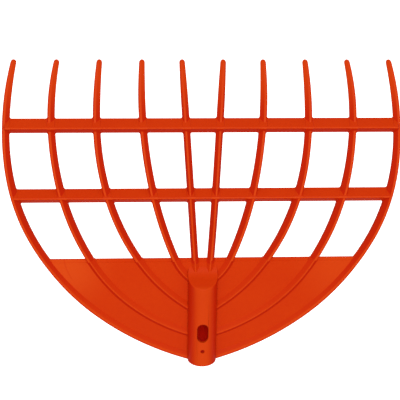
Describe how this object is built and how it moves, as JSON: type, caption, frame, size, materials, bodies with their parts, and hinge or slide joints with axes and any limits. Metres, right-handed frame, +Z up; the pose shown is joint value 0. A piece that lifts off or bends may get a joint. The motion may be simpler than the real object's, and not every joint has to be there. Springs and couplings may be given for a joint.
{
  "type": "leaf grabber hand",
  "caption": "Ribbed, gently cupped leaf grabber hand with ten comb fingers, two crossbars, a solid apron and a pole socket, moulded in one piece.",
  "frame": {"origin": "centre of the mouth of the pole socket", "axes": "+Z up the socket's axis towards the finger tips, +X across the hand, -Y out of the ribbed convex back"},
  "size_m": [0.424, 0.0852, 0.328],
  "materials": {
    "moulded_plastic": "satin orange-red polypropylene, as moulded"
  },
  "bodies": {
    "root": {"socket_tube": "moulded_plastic", "socket_end": "moulded_plastic", "apron": "moulded_plastic", "rib_1": "moulded_plastic", "rib_2": "moulded_plastic", "rib_3": "moulded_plastic", "rib_4": "moulded_plastic", "rib_5": "moulded_plastic", "rib_6": "moulded_plastic", "rib_7": "moulded_plastic", "rib_8": "moulded_plastic", "rib_9": "moulded_plastic", "rib_10": "moulded_plastic", "tine_1": "moulded_plastic", "tine_2": "moulded_plastic", "tine_3": "moulded_plastic", "tine_4": "moulded_plastic", "tine_5": "moulded_plastic", "tine_6": "moulded_plastic", "tine_7": "moulded_plastic", "tine_8": "moulded_plastic", "tine_9": "moulded_plastic", "tine_10": "moulded_plastic", "lower_crossbar": "moulded_plastic", "upper_crossbar": "moulded_plastic"}
  },
  "joints": []
}
